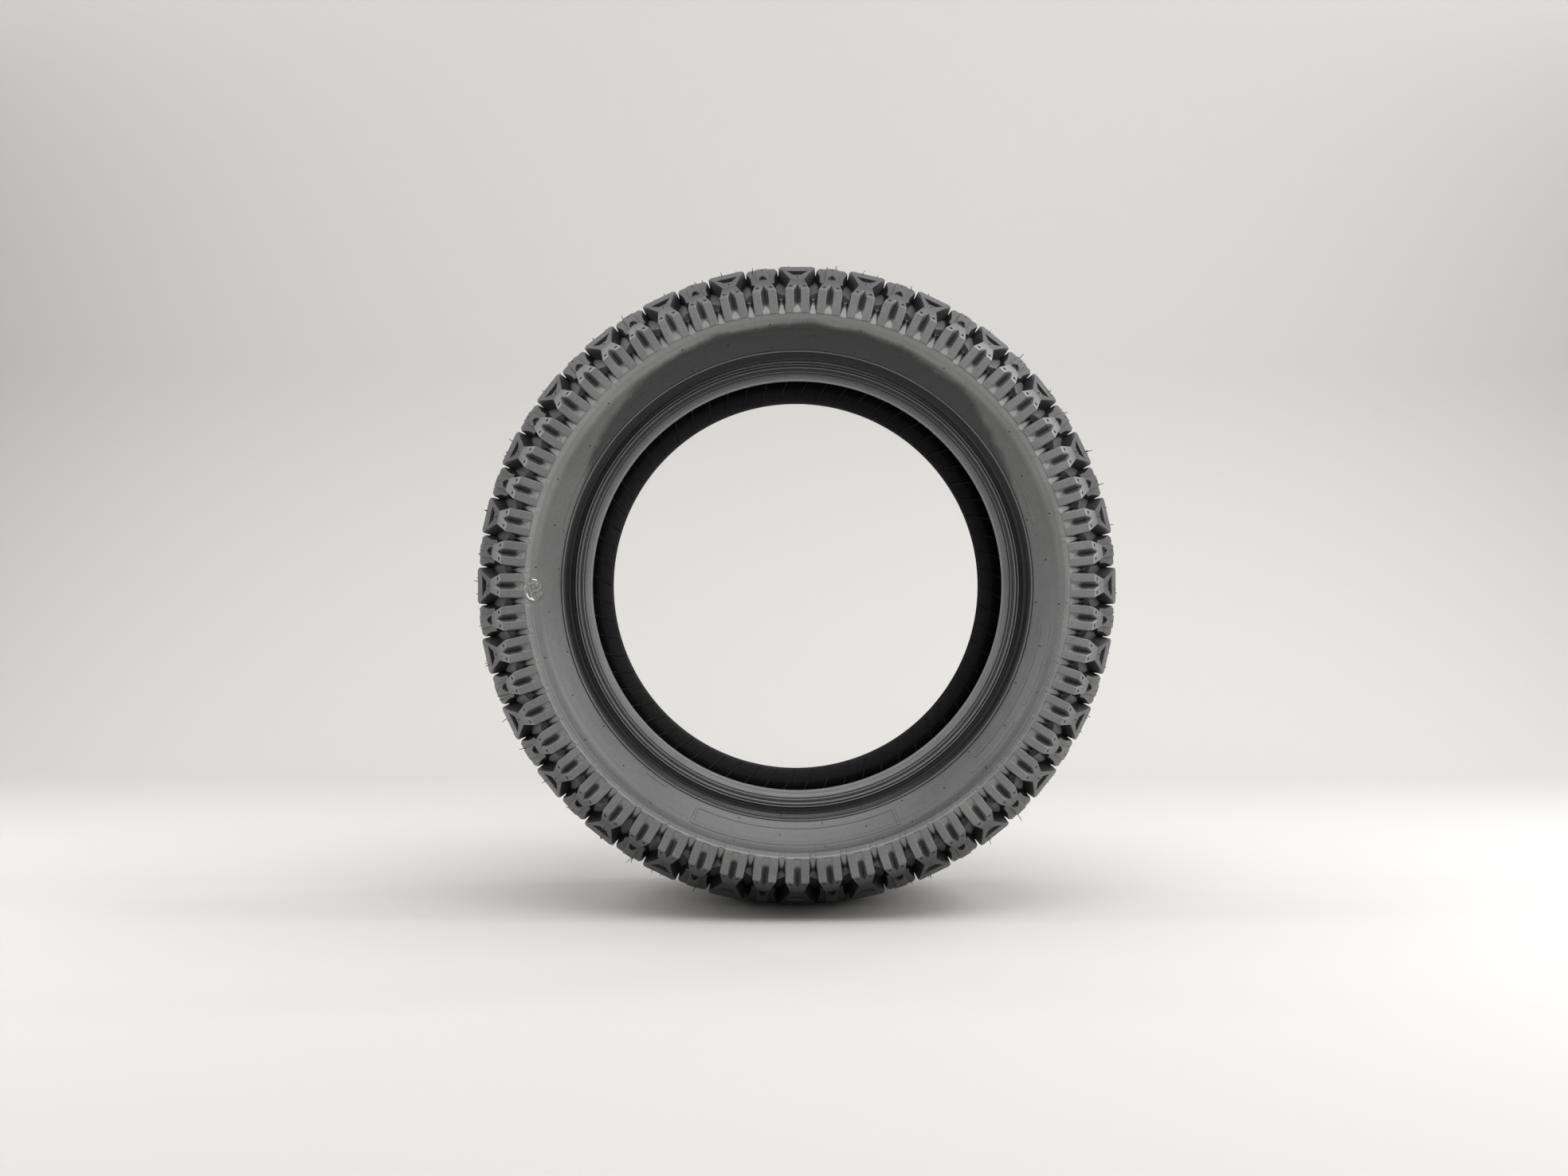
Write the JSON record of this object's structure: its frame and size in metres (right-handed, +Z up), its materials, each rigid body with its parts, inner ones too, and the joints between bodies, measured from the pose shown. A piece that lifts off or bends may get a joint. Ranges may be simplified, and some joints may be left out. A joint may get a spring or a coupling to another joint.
{
  "type": "off-road tire",
  "caption": "Tubeless off-road tire for a small wheel, with deep forked shoulder lugs, blocky crown, plain sidewalls and wire beads.",
  "frame": {"origin": "middle of the tire, on the wheel axis and on the middle plane between the beads", "axes": "Y is the wheel axis, with the side called left facing -Y; Z is up, with the tire standing on its tread; X points the way the tire rolls"},
  "size_m": [0.5738, 0.262, 0.5726],
  "materials": {
    "tread_rubber": "matt moulded rubber",
    "side_rubber": "satin moulded rubber",
    "cushion_rubber": "matt rubber",
    "liner_rubber": "satin airtight rubber",
    "body_cord": "nylon cord in skim rubber",
    "breaker_cord": "nylon cord in skim rubber",
    "chafer_cloth": "rubbered square-woven cloth",
    "flipper_cloth": "rubbered square-woven cloth",
    "hard_rubber": "hard matt rubber",
    "bead_wire": "bronze-coated steel wire",
    "clear_label": "thin translucent film"
  },
  "bodies": {
    "root": {"tread_cap": "tread_rubber", "undertread": "cushion_rubber", "breaker_ply_outer": "breaker_cord", "breaker_ply_inner": "breaker_cord", "body_ply_outer": "body_cord", "body_ply_inner": "body_cord", "inner_liner": "liner_rubber", "sidewall_left": "side_rubber", "sidewall_right": "side_rubber", "chafer_left": "chafer_cloth", "chafer_right": "chafer_cloth", "bead_flipper_left": "flipper_cloth", "bead_flipper_right": "flipper_cloth", "bead_filler_left": "hard_rubber", "bead_filler_right": "hard_rubber", "bead_core_left": "bead_wire", "bead_core_right": "bead_wire", "inspection_sticker": "clear_label"}
  },
  "joints": []
}
